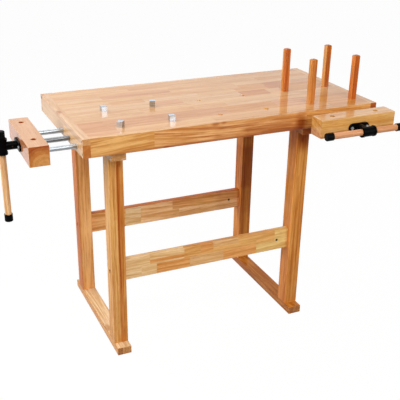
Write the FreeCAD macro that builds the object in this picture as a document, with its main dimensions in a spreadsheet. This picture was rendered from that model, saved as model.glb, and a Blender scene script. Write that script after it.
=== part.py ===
import FreeCAD, Part

import math
import os
import re

import Sketcher

# A wooden workbench with an end vise on its left end and a front vise near its right end.
# Frame: +Z up, +X along the bench, the front faces -Y. The origin lies on the floor, under
# the middle of the whole bench with both vises. All sizes are in millimetres.

Vector = FreeCAD.Vector
Rotation = FreeCAD.Rotation

# ---------------------------------------------------------------- driving sizes

SIZES = [
    # the top: a panel inside four boards
    ("bench_length", 1120.0),
    ("bench_width", 562.0),
    ("bench_height", 850.0),
    ("apron_height", 65.0),
    ("apron_thick", 20.0),
    ("endboard_thick", 26.0),
    ("panel_thick", 26.0),
    ("tongue_thick", 8.0),
    ("tongue_depth", 7.0),
    ("arris", 1.5),
    # holes for dogs and pegs
    ("dog_hole_dia", 19.0),
    ("dog_last_inset", 54.5),
    ("dog_column_pitch", 182.5),
    ("dog_first_row", 79.0),
    ("dog_row_pitch", 185.0),
    # leg frames
    ("leg_width", 52.0),
    ("leg_depth", 57.0),
    ("leg_left_inset", 94.0),
    ("leg_right_inset", 252.0),
    ("leg_front_inset", 44.0),
    ("leg_rear_inset", 44.0),
    ("foot_thick", 30.0),
    ("rail_thick", 26.0),
    ("foot_overhang", 36.0),
    ("tenon_length", 18.0),
    ("tenon_width", 28.0),
    ("tenon_depth", 36.0),
    ("stretcher_thick", 24.0),
    ("stretcher_height", 82.0),
    ("stretcher_floor", 280.0),
    # bolts and dowels of the frames
    ("bolt_dia", 8.0),
    ("bolt_clear", 0.5),
    ("bolt_head_dia", 13.0),
    ("bolt_head_height", 8.0),
    ("bolt_head_sink", 3.0),
    ("bolt_past_nut", 6.0),
    ("barrel_dia", 10.0),
    ("barrel_length", 18.0),
    ("barrel_setback", 48.0),
    ("dowel_dia", 8.0),
    ("dowel_in_leg", 15.0),
    ("dowel_in_stretcher", 20.0),
    ("dowel_rise", 25.0),
    ("bearer_width", 44.0),
    ("frame_bolt_gap", 30.0),
    ("frame_bolt_grip", 24.0),
    ("corner_screw_dia", 4.5),
    ("corner_screw_head_dia", 9.0),
    ("corner_screw_head_height", 2.2),
    ("corner_screw_sink", 3.0),
    ("corner_screw_length", 45.0),
    ("corner_screw_upper", 11.0),
    ("corner_screw_lower", 53.0),
    # both vises: wooden jaw, rods, screw
    ("jaw_length", 308.0),
    ("jaw_thick", 66.0),
    ("jaw_height", 67.0),
    ("jaw_drop", 6.0),
    ("jaw_arris", 2.0),
    ("jaw_hole_depth", 28.0),
    ("end_vise_place", 162.0),
    ("end_vise_open", 103.0),
    ("front_vise_inset", 145.0),
    ("front_vise_open", 33.0),
    ("axis_drop", 46.0),
    ("rod_dia", 16.0),
    ("rod_spacing", 172.0),
    ("rod_length", 302.0),
    ("rod_embed", 50.0),
    ("rod_clear", 0.08),
    ("hole_slack", 1.0),
    ("screw_dia", 18.0),
    ("screw_root_dia", 14.5),
    ("screw_lead", 4.0),
    ("screw_past_jaw", 225.0),
    ("screw_clear", 0.08),
    # the plate behind the fixed jaw, with its nut and guide tubes
    ("plate_length", 206.0),
    ("plate_height", 34.0),
    ("plate_thick", 5.0),
    ("tube_dia", 22.0),
    ("tube_length", 36.0),
    ("nut_dia", 30.0),
    ("nut_length", 36.0),
    ("plate_screw_dia", 5.0),
    ("plate_screw_head_dia", 9.5),
    ("plate_screw_head_height", 3.0),
    ("plate_screw_grip", 14.0),
    ("plate_screw_outer", 62.0),
    ("plate_screw_inner", 32.0),
    # flange, collar, hub and handle
    ("flange_length", 84.0),
    ("flange_height", 32.0),
    ("flange_thick", 6.0),
    ("flange_round", 1.5),
    ("flange_bolt_spacing", 62.0),
    ("flange_bolt_dia", 6.0),
    ("flange_bolt_head_dia", 11.0),
    ("flange_bolt_head_height", 3.5),
    ("flange_bolt_grip", 30.0),
    ("collar_dia", 27.0),
    ("collar_thick", 8.0),
    ("collar_clear", 0.3),
    ("neck_dia", 28.0),
    ("hub_reach", 55.0),
    ("hub_dia", 35.0),
    ("hub_rim_dia", 38.0),
    ("hub_rim_width", 7.0),
    ("hub_length", 52.0),
    ("hub_pin_dia", 5.0),
    ("hub_pin_place", 22.0),
    ("hub_wall", 2.5),
    ("handle_dia", 22.5),
    ("handle_clear", 0.3),
    ("handle_length", 317.0),
    ("cap_dia", 28.0),
    ("cap_length", 26.0),
    ("cap_socket", 21.0),
    ("cap_round", 3.0),
    ("front_handle_shift", 12.0),
    # steel dogs and wooden pegs
    ("dog_side", 20.0),
    ("dog_height", 20.0),
    ("dog_edge", 1.0),
    ("dog_groove", 0.8),
    ("peg_side", 20.5),
    ("peg_height", 163.0),
    ("peg_edge", 2.5),
    ("shank_length", 34.0),
    ("shank_clear", 0.3),
    ("shank_edge", 1.5),
]

# Lengths and places that follow from the driving sizes, as formulas for the sheet.
DERIVED = {
    # where the bench's left end and front stand, so that the origin is in the middle of it all
    "reach_left": "end_vise_open + jaw_thick + hub_reach + hub_rim_dia/2",
    "reach_right": "bench_length + max(0; jaw_length/2 - front_vise_inset)",
    "reach_front": "front_vise_open + jaw_thick + hub_reach + hub_rim_dia/2",
    "bench_left": "(reach_left - reach_right)/2",
    "bench_front": "(reach_front - bench_width)/2",
    "apron_bottom": "bench_height - apron_height",
    "apron_length": "bench_length - 2*endboard_thick",
    "inner_width": "bench_width - 2*apron_thick",
    "bearer_height": "apron_height - panel_thick",
    # leg frames
    "frame_depth": "bench_width - leg_front_inset - leg_rear_inset",
    "leg_pitch": "frame_depth - leg_depth",
    "frame_middle": "bench_front + leg_front_inset + frame_depth/2",
    "foot_length": "frame_depth + 2*foot_overhang",
    "leg_length": "apron_bottom - rail_thick - foot_thick",
    "left_leg_x": "bench_left + leg_left_inset + leg_width/2",
    "right_leg_x": "bench_left + bench_length - leg_right_inset - leg_width/2",
    "stretcher_length": "right_leg_x - left_leg_x - leg_width",
    "stretcher_middle": "stretcher_floor + stretcher_height/2",
    "bolt_hole": "bolt_dia + bolt_clear",
    "bolt_recess": "bolt_head_height + bolt_head_sink",
    "stretcher_bolt_length": "leg_width - bolt_recess + barrel_setback + bolt_past_nut",
    "frame_bolt_offset": "frame_depth/2 - leg_depth - frame_bolt_gap",
    # vises
    "front_vise_place": "bench_length - front_vise_inset",
    "vise_axis": "bench_height - axis_drop",
    "jaw_top": "axis_drop - jaw_drop",
    "rod_hole": "rod_dia + 2*rod_clear",
    "rod_slack_hole": "rod_dia + 2*hole_slack",
    "screw_hole": "screw_dia + 2*screw_clear",
    "screw_slack_hole": "screw_dia + 2*hole_slack",
    "collar_recess_depth": "collar_thick + collar_clear",
    "screw_in_hub": "hub_reach - handle_dia/2 - handle_clear - hub_wall",
    "bar_end": "handle_length/2 - cap_length + cap_socket",
    "shank_dia": "dog_hole_dia - 2*shank_clear",
    "hanging_drop": "handle_length/2 - cap_length - hub_length/2",
}

doc = FreeCAD.newDocument("workbench")
sheet = doc.addObject("Spreadsheet::Sheet", "Sizes")
for row, (alias, amount) in enumerate(SIZES, start=1):
    sheet.set(f"A{row}", alias)
    sheet.set(f"B{row}", str(amount))
    sheet.setAlias(f"B{row}", alias)
doc.recompute()

DRIVING = {alias for alias, _ in SIZES}
sub_parts = []


def formula(text):
    """The sheet's formula for a length written with the names above."""

    def spell(match):
        name = match.group(0)
        if name in DERIVED:
            return "(" + formula(DERIVED[name]) + ")"
        return "Sizes." + name if name in DRIVING else name

    return re.sub(r"[a-z_]\w*", spell, text)


def size(alias):
    """A driving size as a number, for a shape that no feature fits."""
    return float(getattr(sheet, alias))


def bind(thing, where, text):
    thing.setExpression(where, formula(text))


def place(thing, x="0", y="0", z="0", turn=None):
    """Stand an object at a place given by formulas, turned first where it has to be."""
    if turn is not None:
        thing.Placement = FreeCAD.Placement(Vector(), turn)
    for axis, text in zip("xyz", (x, y, z)):
        bind(thing, f"Placement.Base.{axis}", text)
    return thing


def keep(thing, label):
    """Make an object one of the bench's sub-parts."""
    thing.Label = label
    sub_parts.append(thing)
    return thing


# ---------------------------------------------------------------- sketches and features


def new_body(label):
    body = doc.addObject("PartDesign::Body", "Body_" + label)
    return keep(body, label)


def sketch_on(body, plane, x="0", y="0", z="0"):
    """A sketch on one of the body's origin planes, its own origin moved by x, y and z."""
    sketch = body.newObject("Sketcher::SketchObject", "Sketch")
    role = plane + "_Plane"
    support = next(f for f in body.Origin.OriginFeatures if f.Role == role)
    sketch.AttachmentSupport = [(support, "")]
    sketch.MapMode = "FlatFace"
    for axis, text in zip("xyz", (x, y, z)):
        if text != "0":
            bind(sketch, f"AttachmentOffset.Base.{axis}", text)
    return sketch


def measure(sketch, kind, spots, name, text):
    """Add a named dimension to a sketch and drive it from the sheet."""
    index = sketch.addConstraint(Sketcher.Constraint(kind, *spots, 1.0))
    sketch.renameConstraint(index, name)
    bind(sketch, "Constraints." + name, text)


def rectangle(sketch, wide, tall):
    """A rectangle centred on the sketch's origin."""
    corners = [Vector(-1, -1, 0), Vector(1, -1, 0), Vector(1, 1, 0), Vector(-1, 1, 0)]
    for start, end in zip(corners, corners[1:] + corners[:1]):
        sketch.addGeometry(Part.LineSegment(start, end))
    for line in range(4):
        sketch.addConstraint(Sketcher.Constraint("Coincident", line, 2, (line + 1) % 4, 1))
        level = "Vertical" if line % 2 else "Horizontal"
        sketch.addConstraint(Sketcher.Constraint(level, line))
    sketch.addConstraint(Sketcher.Constraint("Symmetric", 0, 1, 2, 1, -1, 1))
    measure(sketch, "DistanceX", (0, 1, 0, 2), "wide", wide)
    measure(sketch, "DistanceY", (1, 1, 1, 2), "tall", tall)
    return sketch


def circles(sketch, across, spots=(("0", "0"),)):
    """Circles of one diameter, each at x and y from the sketch's origin."""
    for index, (x, y) in enumerate(spots):
        sketch.addGeometry(Part.Circle(Vector(1 + index, 1, 0), Vector(0, 0, 1), 1))
        measure(sketch, "Diameter", (index,), f"across{index}", across)
        for kind, text, name in (("DistanceX", x, "x"), ("DistanceY", y, "y")):
            if text == "0":
                rim = -2 if kind == "DistanceX" else -1
                sketch.addConstraint(Sketcher.Constraint("PointOnObject", index, 3, rim))
            else:
                measure(sketch, kind, (-1, 1, index, 3), f"{name}{index}", text)
    return sketch


def pad(body, sketch, length, both_ways=False, backwards=False):
    feature = body.newObject("PartDesign::Pad", "Pad")
    feature.Profile = sketch
    feature.Midplane = both_ways
    feature.Reversed = backwards
    bind(feature, "Length", length)
    sketch.Visibility = False
    return feature


def pocket(body, sketch, depth, backwards=False):
    """Cut a sketch into the body. A cut that takes nothing away is an error."""
    doc.recompute()
    before = body.Shape.Volume
    feature = body.newObject("PartDesign::Pocket", "Pocket")
    feature.Profile = sketch
    feature.Type = "Length"
    feature.Reversed = backwards
    bind(feature, "Length", depth)
    sketch.Visibility = False
    doc.recompute()
    if not body.Shape.Volume < before - 1e-3:
        raise RuntimeError(f"a pocket in {body.Label} cuts nothing")
    return feature


def dress(body, kind, feature, amount, chosen):
    """Round ("Fillet") or bevel ("Chamfer") the edges of a feature that chosen picks."""
    doc.recompute()
    edges = [
        f"Edge{number}"
        for number, edge in enumerate(feature.Shape.Edges, start=1)
        if chosen(edge)
    ]
    dressing = body.newObject("PartDesign::" + kind, kind)
    dressing.Base = (feature, edges)
    bind(dressing, "Radius" if kind == "Fillet" else "Size", amount)
    return dressing


def lies_at(edge, axis, level):
    """Whether a whole edge lies at one level of an axis."""
    return all(abs(getattr(vertex, axis) - level) < 1e-3 for vertex in edge.Vertexes)


def runs_along(edge, axis):
    start, end = edge.Vertexes[0], edge.Vertexes[-1]
    return abs(getattr(start, axis) - getattr(end, axis)) > 1e-3


def every_edge(edge):
    return True


def board(label, along, across, high, chosen=every_edge):
    """A planed board centred on its origin in plan, standing on it, its arrises eased."""
    body = new_body(label)
    block = pad(body, rectangle(sketch_on(body, "XY"), along, across), high)
    dress(body, "Fillet", block, "arris", chosen)
    return body


def holes(body, plane, depth_to, across, depth, spots, backwards=False):
    """Round holes that start on a plane moved along its normal to depth_to."""
    return pocket(body, circles(sketch_on(body, plane, z=depth_to), across, spots), depth, backwards)


# ---------------------------------------------------------------- turned pieces, made of cylinders


def cylinder(across, length, x="0", y="0", z="0", turn=None):
    drum = doc.addObject("Part::Cylinder", "Cylinder")
    bind(drum, "Radius", f"({across})/2")
    bind(drum, "Height", length)
    return place(drum, x, y, z, turn)


def joined(pieces):
    """One solid from overlapping or stacked pieces."""
    fuse = doc.addObject("Part::MultiFuse", "Fuse")
    fuse.Shapes = pieces
    fuse.Refine = True
    return fuse


def group(label, pieces):
    """Separate solids that share one node."""
    bunch = doc.addObject("Part::Compound", "Group")
    bunch.Links = pieces
    return keep(bunch, label)


ALONG_X = Rotation(Vector(0, 1, 0), 90)
ALONG_Y = Rotation(Vector(1, 0, 0), -90)
HALF_TURN = Rotation(Vector(0, 0, 1), 180)

# The turn that points a cylinder along each of these ways.
WAYS = {
    (1, 0, 0): ALONG_X,
    (-1, 0, 0): Rotation(Vector(0, 1, 0), -90),
    (0, 1, 0): ALONG_Y,
    (0, -1, 0): Rotation(Vector(1, 0, 0), 90),
    (0, 0, 1): Rotation(),
}

# The edge numbers of a cylinder's two ends.
LOW_RIM = 2
HIGH_RIM = 3


def headed(name, length, spot, way):
    """A screw or bolt with its head's underside at a spot and its shank along a way."""
    behind = [f"{start} - ({sign})*{name}_head_height" for start, sign in zip(spot, way)]
    shank = cylinder(name + "_dia", length, *spot, WAYS[way])
    head = cylinder(name + "_head_dia", name + "_head_height", *behind, WAYS[way])
    return joined([shank, head])


# ---------------------------------------------------------------- the top


def count_columns():
    """As many columns of dog holes as fit between the right end and the left bearer."""
    bearer = size("leg_left_inset") + (size("leg_width") + size("bearer_width")) / 2
    first = bearer + size("dog_hole_dia") / 2 + size("hole_slack")
    room = size("bench_length") - size("dog_last_inset") - first
    return 1 + int(room / size("dog_column_pitch"))


def column(number):
    """Where a column of dog holes is, counted from the right, as a distance along the bench."""
    return f"bench_length - dog_last_inset - {number}*dog_column_pitch"


def dog_row(number):
    return f"dog_first_row + {number}*dog_row_pitch"


def make_panel():
    """The panel lies flush with the boards around it, a tongue on all four sides."""
    body = new_body("top_panel")
    slab = rectangle(sketch_on(body, "XY"), "apron_length", "inner_width")
    pad(body, slab, "panel_thick")
    tongue = rectangle(
        sketch_on(body, "XY", z="panel_thick/2"),
        "apron_length + 2*tongue_depth",
        "inner_width + 2*tongue_depth",
    )
    pad(body, tongue, "tongue_thick", both_ways=True)
    spots = [
        (f"{column(number)} - bench_length/2", f"{dog_row(row)} - bench_width/2")
        for number in range(count_columns())
        for row in range(2)
    ]
    holes(body, "XY", "panel_thick", "dog_hole_dia", "panel_thick", spots)
    place(
        body,
        "bench_left + bench_length/2",
        "bench_front + bench_width/2",
        "bench_height - panel_thick",
    )


def groove(body, plane, offset, length, backwards):
    """The groove that takes the panel's tongue, cut into a board's inner face."""
    slot = rectangle(
        sketch_on(body, plane, y="apron_height - panel_thick/2", z=offset), length, "tongue_thick"
    )
    pocket(body, slot, "tongue_depth", backwards)


def vise_spots():
    """Two guide rods beside the screw, along a sketch's first axis from the screw."""
    return [("rod_spacing/2", "0"), ("-rod_spacing/2", "0")]


def vise_holes(body, plane, along, face, thickness, backwards=False):
    """Free holes for a vise's rods and screw, centred at along in a board's sketch plane."""
    height = "apron_height - axis_drop"
    rods = sketch_on(body, plane, x=along, y=height, z=face)
    pocket(body, circles(rods, "rod_slack_hole", vise_spots()), thickness, backwards)
    shaft = sketch_on(body, plane, x=along, y=height, z=face)
    pocket(body, circles(shaft, "screw_slack_hole"), thickness, backwards)


def make_aprons():
    """Front and rear apron, between the end boards. Only their outer arrises are eased."""
    for label, front in (("front_apron", True), ("rear_apron", False)):
        outer = size("apron_thick") / (-2 if front else 2)
        body = board(
            label,
            "apron_length",
            "apron_thick",
            "apron_height",
            lambda edge: lies_at(edge, "Y", outer) and runs_along(edge, "X"),
        )
        inner = "-apron_thick/2" if front else "apron_thick/2"
        groove(body, "XZ", inner, "apron_length", backwards=front)
        pilots = [
            ("0", "apron_height - corner_screw_upper"),
            ("0", "apron_height - corner_screw_lower"),
        ]
        grip = "corner_screw_length - endboard_thick"
        for end, backwards in (("apron_length/2", False), ("-apron_length/2", True)):
            holes(body, "YZ", end, "corner_screw_dia", grip, pilots, backwards)
        if front:
            along = "front_vise_place - bench_length/2"
            vise_holes(body, "XZ", along, "apron_thick/2", "apron_thick")
            plate_pilots(body, "XZ", along, "-apron_thick/2", backwards=True)
        depth = "apron_thick/2" if front else "bench_width - apron_thick/2"
        place(body, "bench_left + bench_length/2", "bench_front + " + depth, "apron_bottom")


def plate_pilots(body, plane, along, face, backwards=False):
    """Pilot holes for the screws of the vise's guide plate, from a board's inner face."""
    pilots = sketch_on(body, plane, x=along, y="apron_height - axis_drop", z=face)
    circles(pilots, "plate_screw_dia", plate_screw_spots())
    pocket(body, pilots, "plate_screw_grip", backwards)


def make_end_boards():
    """End boards run the full width, so their end grain shows at the corners."""
    for label, left in (("left_end_board", True), ("right_end_board", False)):
        inner_face = size("endboard_thick") / (2 if left else -2)
        body = board(
            label,
            "endboard_thick",
            "bench_width",
            "apron_height",
            lambda edge: not lies_at(edge, "X", inner_face),
        )
        inner = "endboard_thick/2" if left else "-endboard_thick/2"
        outer = "-endboard_thick/2" if left else "endboard_thick/2"
        groove(body, "YZ", inner, "inner_width + 2*tongue_depth", backwards=not left)
        side = "(bench_width - apron_thick)/2"
        spots = [
            (sign + side, f"apron_height - corner_screw_{level}")
            for sign in ("", "-")
            for level in ("upper", "lower")
        ]
        holes(body, "YZ", outer, "corner_screw_dia", "endboard_thick", spots, backwards=left)
        sink = "corner_screw_sink"
        holes(body, "YZ", outer, "corner_screw_head_dia", sink, spots, backwards=left)
        if left:
            along = "end_vise_place - bench_width/2"
            vise_holes(body, "YZ", along, outer, "endboard_thick", backwards=True)
            plate_pilots(body, "YZ", along, inner)
        middle = "endboard_thick/2" if left else "bench_length - endboard_thick/2"
        place(body, "bench_left + " + middle, "bench_front + bench_width/2", "apron_bottom")


def make_corner_screws():
    """Eight screws hold the end boards to the aprons, their heads let in just below the face."""
    ends = (
        ("bench_left + corner_screw_sink", (1, 0, 0)),
        ("bench_left + bench_length - corner_screw_sink", (-1, 0, 0)),
    )
    length = "corner_screw_length - corner_screw_sink"
    screws = [
        headed(
            "corner_screw",
            length,
            (x, "bench_front + " + y, f"bench_height - corner_screw_{level}"),
            way,
        )
        for x, way in ends
        for y in ("apron_thick/2", "bench_width - apron_thick/2")
        for level in ("upper", "lower")
    ]
    group("corner_screws", screws)


def frame_bolt_spots():
    return [("0", "frame_bolt_offset"), ("0", "-frame_bolt_offset")]


def make_bearers():
    """Battens under the panel, one over each leg frame. The left one guides the end vise."""
    middle_gap = "frame_middle - bench_front - bench_width/2"
    for label, x in (("left_bearer", "left_leg_x"), ("right_bearer", "right_leg_x")):
        body = board(label, "bearer_width", "inner_width", "bearer_height")
        spots = [("0", y + " + " + middle_gap) for _, y in frame_bolt_spots()]
        holes(body, "XY", "0", "bolt_dia", "frame_bolt_grip", spots, backwards=True)
        if label == "left_bearer":
            along = "end_vise_place - bench_width/2"
            vise_holes(body, "YZ", along, "-bearer_width/2", "bearer_width", backwards=True)
        place(body, x, "bench_front + bench_width/2", "apron_bottom")


# ---------------------------------------------------------------- the leg frames


def make_legs():
    """Four legs with a tenon at each end and the stretcher's bolt through the middle."""
    for side, x, turn in (("left", "left_leg_x", None), ("right", "right_leg_x", HALF_TURN)):
        for end, sign in (("front", "-"), ("rear", "+")):
            body = new_body(f"{side}_{end}_leg")
            section = rectangle(sketch_on(body, "XY"), "leg_width", "leg_depth")
            shaft = pad(body, section, "leg_length")
            dress(body, "Fillet", shaft, "arris", lambda edge: runs_along(edge, "Z"))
            foot_tenon = rectangle(sketch_on(body, "XY"), "tenon_width", "tenon_depth")
            pad(body, foot_tenon, "tenon_length", backwards=True)
            top = sketch_on(body, "XY", z="leg_length")
            pad(body, rectangle(top, "tenon_width", "tenon_depth"), "tenon_length")
            bolt = [("0", "stretcher_middle - foot_thick")]
            outer = "-leg_width/2"
            recess = "bolt_head_dia + bolt_clear"
            holes(body, "YZ", outer, "bolt_hole", "leg_width", bolt, backwards=True)
            holes(body, "YZ", outer, recess, "bolt_recess", bolt, backwards=True)
            dowels = [
                ("0", f"stretcher_middle - foot_thick {way} dowel_rise") for way in ("+", "-")
            ]
            holes(body, "YZ", "leg_width/2", "dowel_dia", "dowel_in_leg", dowels)
            place(body, x, f"frame_middle {sign} leg_pitch/2", "foot_thick", turn)


def make_cross_boards():
    """Feet and top rails run front to back, past the legs, which are let into them."""
    for side, x in (("left", "left_leg_x"), ("right", "right_leg_x")):
        foot = board(side + "_foot", "leg_width", "foot_length", "foot_thick")
        mortises(foot, "foot_thick", upwards=False)
        place(foot, x, "frame_middle")
        rail = board(side + "_top_rail", "leg_width", "foot_length", "rail_thick")
        mortises(rail, "0", upwards=True)
        spots = frame_bolt_spots()
        holes(rail, "XY", "0", "bolt_hole", "rail_thick", spots, backwards=True)
        recess = "bolt_head_dia + bolt_clear"
        holes(rail, "XY", "0", recess, "bolt_head_height", spots, backwards=True)
        place(rail, x, "frame_middle", "apron_bottom - rail_thick")


def mortises(body, level, upwards):
    """The two legs' mortises, cut up or down from a level of a foot or rail."""
    for sign in ("-", ""):
        mouth = sketch_on(body, "XY", y=sign + "leg_pitch/2", z=level)
        pocket(body, rectangle(mouth, "tenon_width", "tenon_depth"), "tenon_length", upwards)


def make_stretchers():
    """Front and rear stretcher, butted between the legs, a barrel nut near each end.

    The right end's nut is put in from the front and the left end's from behind."""
    for label, sign in (("front_stretcher", "-"), ("rear_stretcher", "+")):
        body = board(
            label,
            "stretcher_length",
            "stretcher_thick",
            "stretcher_height",
            lambda edge: runs_along(edge, "X"),
        )
        middle = "stretcher_height/2"
        for end, inward, mouth in (
            ("-", True, "-stretcher_thick/2"),
            ("", False, "stretcher_thick/2"),
        ):
            face = end + "stretcher_length/2"
            reach = "barrel_setback + bolt_past_nut"
            holes(body, "YZ", face, "bolt_hole", reach, [("0", middle)], inward)
            dowels = [("0", middle + " + dowel_rise"), ("0", middle + " - dowel_rise")]
            holes(body, "YZ", face, "dowel_dia", "dowel_in_stretcher", dowels, inward)
            nut = [(end + "(stretcher_length/2 - barrel_setback)", middle)]
            holes(body, "XZ", mouth, "barrel_dia", "barrel_length", nut, inward)
        place(
            body,
            "(left_leg_x + right_leg_x)/2",
            f"frame_middle {sign} leg_pitch/2",
            "stretcher_floor",
        )


def make_frame_fasteners():
    """Bolts, barrel nuts and dowels at the four stretcher joints, and the bolts of the top."""
    bolts, nuts, dowels = [], [], []
    z = "stretcher_middle"
    for row in ("-", "+"):
        y = f"frame_middle {row} leg_pitch/2"
        for x, sign in (("left_leg_x", 1), ("right_leg_x", -1)):
            way = (sign, 0, 0)
            inner_face = f"{x} + ({sign})*leg_width/2"
            seat_x = f"{x} - ({sign})*(leg_width/2 - bolt_recess)"
            bolts.append(headed("bolt", "stretcher_bolt_length", (seat_x, y, z), way))
            nut_x = f"{inner_face} + ({sign})*barrel_setback"
            nut = doc.addObject("Part::Cut", "Nut")
            behind = f"{y} + stretcher_thick/2 - barrel_length"
            front = behind if sign == 1 else f"{y} - stretcher_thick/2"
            nut.Base = cylinder("barrel_dia", "barrel_length", nut_x, front, z, ALONG_Y)
            nut.Tool = cylinder(
                "bolt_dia", "2*barrel_dia", f"{nut_x} - barrel_dia", y, z, ALONG_X
            )
            nuts.append(nut)
            start = f"{inner_face} - ({sign})*dowel_in_leg"
            length = "dowel_in_leg + dowel_in_stretcher"
            for rise in ("+", "-"):
                level = f"{z} {rise} dowel_rise"
                dowels.append(cylinder("dowel_dia", length, start, y, level, WAYS[way]))
    group("stretcher_bolts", bolts)
    group("barrel_nuts", nuts)
    group("stretcher_dowels", dowels)
    z = "apron_bottom - rail_thick + bolt_head_height"
    length = "rail_thick - bolt_head_height + frame_bolt_grip"
    upright = [
        headed("bolt", length, (x, f"frame_middle {sign} frame_bolt_offset", z), (0, 0, 1))
        for x in ("left_leg_x", "right_leg_x")
        for sign in ("+", "-")
    ]
    group("frame_bolts", upright)


# ---------------------------------------------------------------- the vises

# A vise is built round its own screw: the screw runs along Y through the origin, +Y points
# into the bench, and the moving jaw's inner face is the plane Y = 0. X runs along the jaw.

VISES = {
    "front": {
        "turn": Rotation(),
        "x": "bench_left + front_vise_place",
        "y": "bench_front - front_vise_open",
        "jaw_holes": [
            column(1) + " - front_vise_place",
            column(0) + " - front_vise_place",
        ],
        "fixed_jaw": "apron_thick",
        "handle_shift": "-front_handle_shift",
        "handle_turn": ALONG_X,
        "handle_plane": "YZ",
        "pin_plane": "XY",
        "pin_turn": Rotation(),
    },
    "end": {
        "turn": Rotation(Vector(0, 0, 1), -90),
        "x": "bench_left - end_vise_open",
        "y": "bench_front + end_vise_place",
        "jaw_holes": [
            f"end_vise_place - ({dog_row(0)})",
            f"end_vise_place - ({dog_row(1)})",
        ],
        "fixed_jaw": "endboard_thick",
        "handle_shift": "-hanging_drop",
        "handle_turn": Rotation(),
        "handle_plane": "XY",
        "pin_plane": "YZ",
        "pin_turn": ALONG_X,
    },
}


def seat(thing, vise):
    """Put a piece that was built in the vise's own frame where the vise is."""
    return place(thing, vise["x"], vise["y"], "vise_axis", vise["turn"])


def make_jaw(name, vise):
    """The wooden jaw: blind holes for dogs and rods, a through hole for the screw."""
    body = new_body(name + "_jaw")
    block = pad(
        body,
        rectangle(
            sketch_on(body, "XY", y="-jaw_thick/2", z="jaw_top - jaw_height"),
            "jaw_length",
            "jaw_thick",
        ),
        "jaw_height",
    )
    dress(body, "Fillet", block, "jaw_arris", every_edge)
    dogs = [(x, "-jaw_thick/2") for x in vise["jaw_holes"]]
    holes(body, "XY", "jaw_top", "dog_hole_dia", "jaw_hole_depth", dogs)
    holes(body, "XZ", "0", "rod_dia", "rod_embed", vise_spots(), True)
    holes(body, "XZ", "0", "screw_slack_hole", "jaw_thick", [("0", "0")], True)
    recess = "collar_dia + 2*collar_clear"
    holes(body, "XZ", "jaw_thick", recess, "collar_recess_depth", [("0", "0")])
    bolts = [("flange_bolt_spacing/2", "0"), ("-flange_bolt_spacing/2", "0")]
    holes(body, "XZ", "jaw_thick", "flange_bolt_dia", "flange_bolt_grip", bolts)
    seat(body, vise)


def make_guide_rods(name, vise):
    rods = [
        cylinder("rod_dia", "rod_length", x, "-rod_embed", "0", ALONG_Y) for x, _ in vise_spots()
    ]
    seat(group(name + "_guide_rods", rods), vise)


def across(turn, y, distance):
    """A place in the vise's frame at y, a distance from the screw along a turned Z axis."""
    return (distance, y, "0") if turn is ALONG_X else ("0", y, distance)


def make_screw(name, vise):
    """The screw, its thread as rings one lead apart, plain where the hub and flange hold it."""
    outer = size("screw_dia") / 2
    root = size("screw_root_dia") / 2
    lead = size("screw_lead")
    bar = size("handle_dia") / 2 + size("handle_clear")
    start = -size("jaw_thick") - size("hub_reach") + bar + size("hub_wall")
    end = size("screw_past_jaw")
    y = -size("jaw_thick") + size("collar_thick") + 2 * lead
    outline = [Vector(0, start, 0), Vector(outer, start, 0)]
    while y + 2 * lead < end:
        outline += [
            Vector(outer, y, 0),
            Vector(root, y + 0.3 * lead, 0),
            Vector(root, y + 0.5 * lead, 0),
            Vector(outer, y + 0.8 * lead, 0),
        ]
        y += lead
    outline += [Vector(outer, end - lead / 2, 0), Vector(root, end, 0), Vector(0, end, 0)]
    profile = Part.Face(Part.makePolygon(outline + outline[:1]))
    pin_y = -size("jaw_thick") - size("hub_pin_place")
    way = vise["pin_turn"].multVec(Vector(0, 0, 1))
    middle = Vector(0, pin_y, 0)
    pin = Part.makeCylinder(size("hub_pin_dia") / 2, 4 * outer, middle - way * 2 * outer, way)
    thing = doc.addObject("Part::Feature", "Screw")
    thing.Shape = profile.revolve(Vector(), Vector(0, 1, 0), 360).cut(pin)
    seat(keep(thing, name + "_screw"), vise)


def make_guide_plate(name, vise):
    """Behind the fixed jaw: a plate with the nut in the middle and a guide tube at each side."""
    body = new_body(name + "_guide_plate")
    face = f"{name}_vise_open + {vise['fixed_jaw']}"
    back = f"-({face} + plate_thick)"
    plate = rectangle(sketch_on(body, "XZ", z=back), "plate_length", "plate_height")
    pad(body, plate, "plate_thick")
    pad(body, circles(sketch_on(body, "XZ", z=back), "nut_dia"), "nut_length", backwards=True)
    tubes = circles(sketch_on(body, "XZ", z=back), "tube_dia", vise_spots())
    pad(body, tubes, "tube_length", backwards=True)
    front = f"-({face})"
    holes(body, "XZ", front, "screw_hole", "plate_thick + nut_length", [("0", "0")])
    holes(body, "XZ", front, "rod_hole", "plate_thick + tube_length", vise_spots())
    spots = plate_screw_spots()
    holes(body, "XZ", front, "plate_screw_dia", "plate_thick", spots)
    seat(body, vise)
    length = "plate_thick + plate_screw_grip"
    screws = [
        headed("plate_screw", length, (x, f"{face} + plate_thick", z), (0, -1, 0))
        for x, z in spots
    ]
    seat(group(name + "_plate_screws", screws), vise)


def plate_screw_spots():
    return [
        (sign + reach, "0")
        for reach in ("plate_screw_outer", "plate_screw_inner")
        for sign in ("", "-")
    ]


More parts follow.
